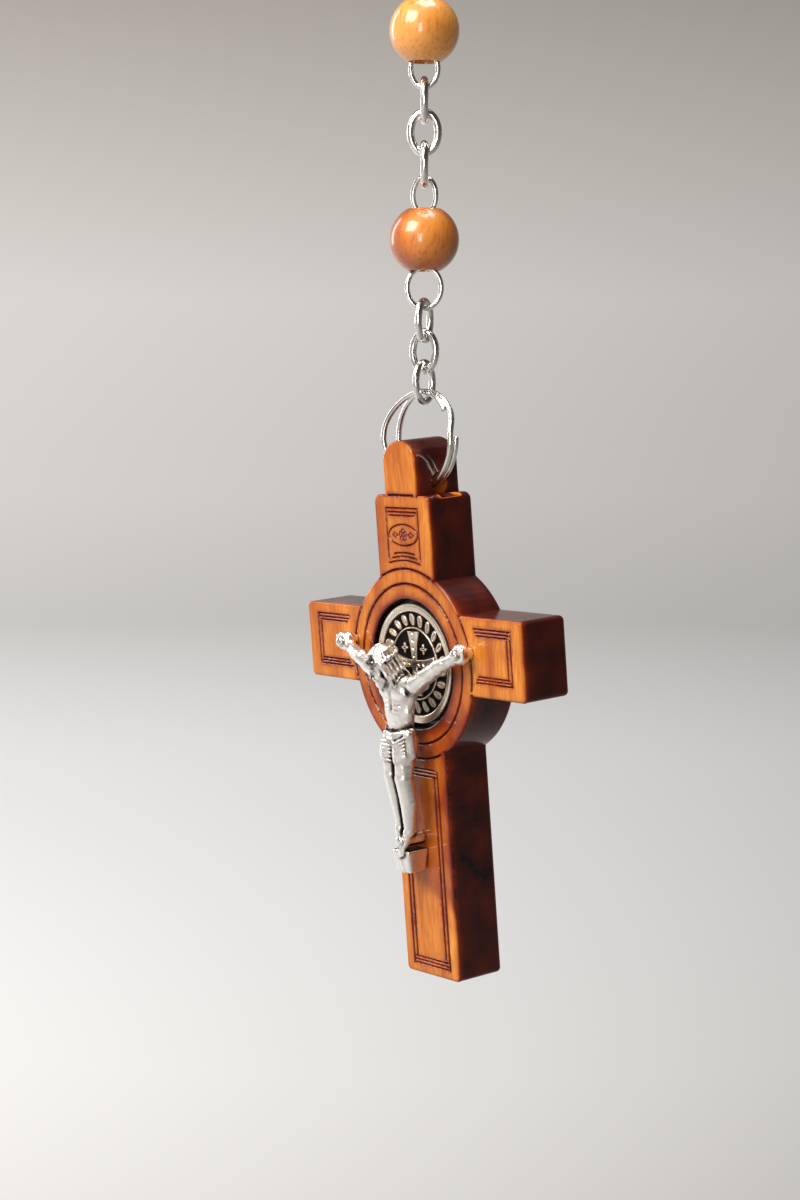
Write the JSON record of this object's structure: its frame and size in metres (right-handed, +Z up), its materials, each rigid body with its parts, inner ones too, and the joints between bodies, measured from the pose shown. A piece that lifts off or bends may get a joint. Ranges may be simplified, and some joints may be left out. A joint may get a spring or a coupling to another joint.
{
  "type": "rosary pendant end",
  "caption": "Hanging end of a rosary: round olive-wood beads on silver wire chain, a split ring, and a wooden cross with a medal and a cast figure.",
  "frame": {"origin": "centre of the wire at the top of the top link, the point that the strand is held by", "axes": "+Z up along the hanging strand, +X to the right across the cross's arms, the cross's carved face towards -Y"},
  "size_m": [0.0408, 0.0146, 0.128],
  "materials": {
    "plated_wire": "gloss",
    "bead_wood": "gloss",
    "cross_wood": "gloss",
    "medal_silver": "satin",
    "cast_silver": "satin"
  },
  "bodies": {
    "top_link_1": {"top_link_1": "plated_wire"},
    "top_link_2": {"top_link_2": "plated_wire"},
    "top_link_3": {"top_link_3": "plated_wire"},
    "eye_pin_2": {"eye_pin_2": "plated_wire"},
    "mid_link_1": {"mid_link_1": "plated_wire"},
    "mid_link_2": {"mid_link_2": "plated_wire"},
    "mid_link_3": {"mid_link_3": "plated_wire"},
    "eye_pin_1": {"eye_pin_1": "plated_wire"},
    "low_link_1": {"low_link_1": "plated_wire"},
    "low_link_2": {"low_link_2": "plated_wire"},
    "low_link_3": {"low_link_3": "plated_wire"},
    "split_ring": {"split_ring": "plated_wire"},
    "cross": {"cross_body": "cross_wood", "medal": "medal_silver", "corpus": "cast_silver", "hand_nail_left": "plated_wire", "hand_nail_right": "plated_wire", "foot_nail": "plated_wire"},
    "bead_2": {"bead_2": "bead_wood"},
    "bead_1": {"bead_1": "bead_wood"}
  },
  "joints": [
    {"name": "top_link_2_swing", "type": "hinge", "parent": "top_link_1", "child": "top_link_2", "pos_m": [0, 0, -0.00465], "axis": [0.7986, -0.6018, 0], "range_deg": [-40, 40]},
    {"name": "top_link_3_swing", "type": "hinge", "parent": "top_link_2", "child": "top_link_3", "pos_m": [0, 0, -0.00827], "axis": [0.6018, 0.7986, 0], "range_deg": [-40, 40]},
    {"name": "eye_pin_2_swing", "type": "hinge", "parent": "top_link_3", "child": "eye_pin_2", "pos_m": [0, 0, -0.01189], "axis": [-0.7986, 0.6018, 0], "range_deg": [-34, 34]},
    {"name": "mid_link_1_swing", "type": "hinge", "parent": "eye_pin_2", "child": "mid_link_1", "pos_m": [0, 0, -0.02456], "axis": [-0.6018, -0.7986, 0], "range_deg": [-40, 40]},
    {"name": "mid_link_2_swing", "type": "hinge", "parent": "mid_link_1", "child": "mid_link_2", "pos_m": [0, 0, -0.02833], "axis": [0.7986, -0.6018, 0], "range_deg": [-40, 40]},
    {"name": "mid_link_3_swing", "type": "hinge", "parent": "mid_link_2", "child": "mid_link_3", "pos_m": [0, 0, -0.03195], "axis": [0.6018, 0.7986, 0], "range_deg": [-40, 40]},
    {"name": "eye_pin_1_swing", "type": "hinge", "parent": "mid_link_3", "child": "eye_pin_1", "pos_m": [0, 0, -0.03557], "axis": [-0.7986, 0.6018, 0], "range_deg": [-34, 34]},
    {"name": "low_link_1_swing", "type": "hinge", "parent": "eye_pin_1", "child": "low_link_1", "pos_m": [0, 0, -0.04964], "axis": [-0.6018, -0.7986, 0], "range_deg": [-40, 40]},
    {"name": "low_link_2_swing", "type": "hinge", "parent": "low_link_1", "child": "low_link_2", "pos_m": [0, 0, -0.05328], "axis": [0.4384, -0.8988, 0], "range_deg": [-40, 40]},
    {"name": "low_link_3_swing", "type": "hinge", "parent": "low_link_2", "child": "low_link_3", "pos_m": [0, 0, -0.05681], "axis": [0.9205, 0.3907, 0], "range_deg": [-40, 40]},
    {"name": "split_ring_swing", "type": "hinge", "parent": "low_link_3", "child": "split_ring", "pos_m": [0, 0, -0.06032], "axis": [0.2419, -0.9703, 0], "range_deg": [-34, 34]},
    {"name": "cross_swing", "type": "hinge", "parent": "split_ring", "child": "cross", "pos_m": [0, 0, -0.06953], "axis": [1, 0, 0], "range_deg": [-40, 40]},
    {"name": "bead_2_spin", "type": "hinge", "parent": "eye_pin_2", "child": "bead_2", "pos_m": [0, 0, -0.01811], "axis": [0, 0, 1], "continuous": true},
    {"name": "bead_1_spin", "type": "hinge", "parent": "eye_pin_1", "child": "bead_1", "pos_m": [0, 0, -0.04179], "axis": [0, 0, 1], "continuous": true}
  ]
}
